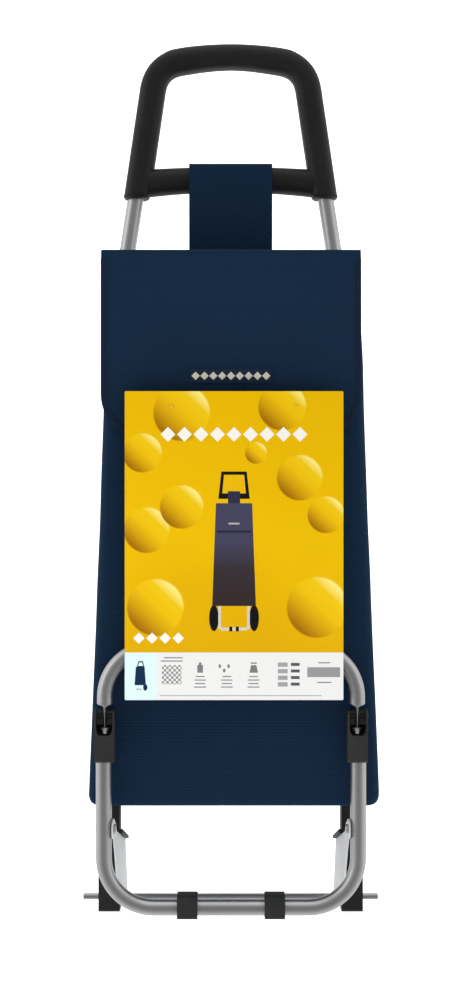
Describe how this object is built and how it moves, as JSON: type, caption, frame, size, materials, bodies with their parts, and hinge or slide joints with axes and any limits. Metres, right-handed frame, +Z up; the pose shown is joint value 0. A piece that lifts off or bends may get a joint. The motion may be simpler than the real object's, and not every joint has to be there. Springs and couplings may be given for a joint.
{
  "type": "folding shopping trolley",
  "caption": "Fabric shopping bag on a folding tube frame with a D handle, a bare axle for push-on wheels and a fold-down foot and shelf.",
  "frame": {"origin": "on the ground plane under the axle brackets, at the middle of the trolley's width and depth", "axes": "+Z up along the rear tubes, +X across to the trolley's left-hand side as seen from behind, -Y to the front of the bag"},
  "size_m": [0.334, 0.231, 0.9785],
  "materials": {
    "tube_silver": "satin silver lacquer on bent steel tube",
    "bright_steel": "zinc-plated steel",
    "grey_sheet": "pale grey coated pressed sheet",
    "handle_plastic": "black satin moulded plastic",
    "black_plastic": "black matt moulded plastic",
    "collar_plastic": "dark grey moulded plastic",
    "foot_rubber": "black rubber",
    "navy_fabric": "navy ribbed polyester",
    "navy_webbing": "navy ribbed polyester, doubled",
    "base_board": "stiff grey-brown board",
    "closure_tape": "black touch-close tape",
    "label_fabric": "woven beige label, plain",
    "printed_card": "printed card, yellow over white, no text",
    "pin_plastic": "clear-white moulded pin"
  },
  "bodies": {
    "frame": {"rear_tube_left": "tube_silver", "rear_tube_right": "tube_silver", "handle_socket_screw_left": "bright_steel", "handle_socket_screw_right": "bright_steel", "handle_bar_screw_left": "bright_steel", "handle_bar_screw_right": "bright_steel", "bracket_rivet_left": "bright_steel", "bracket_rivet_right": "bright_steel", "axle": "bright_steel", "axle_clip_left": "bright_steel", "axle_clip_right": "bright_steel", "handle_front_shell": "handle_plastic", "handle_back_shell": "handle_plastic", "axle_bracket_left": "black_plastic", "axle_bracket_right": "black_plastic", "axle_spacer_left": "black_plastic", "axle_spacer_right": "black_plastic", "bag_body": "navy_fabric", "bag_fold_in_panel": "navy_fabric", "bag_loop_upper_left": "navy_webbing", "bag_loop_upper_right": "navy_webbing", "bag_loop_lower_left": "navy_webbing", "bag_loop_lower_right": "navy_webbing", "hanging_strap": "navy_webbing", "bag_base_board": "base_board", "closure_loop_pad": "closure_tape"},
    "links": {"link_panel_left": "grey_sheet", "link_panel_right": "grey_sheet", "link_strip_left": "black_plastic", "link_strip_right": "black_plastic"},
    "foot": {"foot_tube": "tube_silver", "foot_clip_left": "foot_rubber", "foot_clip_right": "foot_rubber", "collar_left": "collar_plastic", "collar_right": "collar_plastic", "shelf_pivot_left": "black_plastic", "shelf_pivot_right": "black_plastic", "foot_pivot_left": "bright_steel", "foot_pivot_right": "bright_steel"},
    "shelf": {"shelf_arch": "tube_silver"},
    "flap_top": {"flap_top_panel": "navy_fabric"},
    "flap_front": {"flap_front_panel": "navy_fabric", "flap_label": "label_fabric", "closure_hook_pad": "closure_tape", "hang_card": "printed_card", "card_pin_left": "pin_plastic", "card_pin_right": "pin_plastic"}
  },
  "joints": [
    {"name": "base_swing", "type": "hinge", "parent": "frame", "child": "links", "pos_m": [0, 0.09805, 0.014], "axis": [1, 0, 0], "range_deg": [0, 30.6], "deforming": ["bag_fold_in_panel"]},
    {"name": "foot_level", "type": "hinge", "parent": "links", "child": "foot", "pos_m": [0, -0.10195, 0.1343], "axis": [1, 0, 0], "range_deg": [-30.6, 0]},
    {"name": "shelf_fold", "type": "hinge", "parent": "foot", "child": "shelf", "pos_m": [0, -0.10195, 0.247], "axis": [-1, 0, 0], "range_deg": [0, 90]},
    {"name": "flap_lift", "type": "hinge", "parent": "frame", "child": "flap_top", "pos_m": [0, 0.08575, 0.7162], "axis": [-1, 0, 0], "range_deg": [0, 80]},
    {"name": "flap_unfold", "type": "hinge", "parent": "flap_top", "child": "flap_front", "pos_m": [0, -0.0887, 0.716], "axis": [-1, 0, 0], "range_deg": [0, 45]}
  ],
  "couplings": [
    {"joint": "foot_level", "follows": "base_swing", "ratio": -1},
    {"joint": "shelf_fold", "follows": "base_swing", "ratio": 2.94},
    {"joint": "flap_unfold", "follows": "flap_lift", "ratio": 0.56}
  ]
}
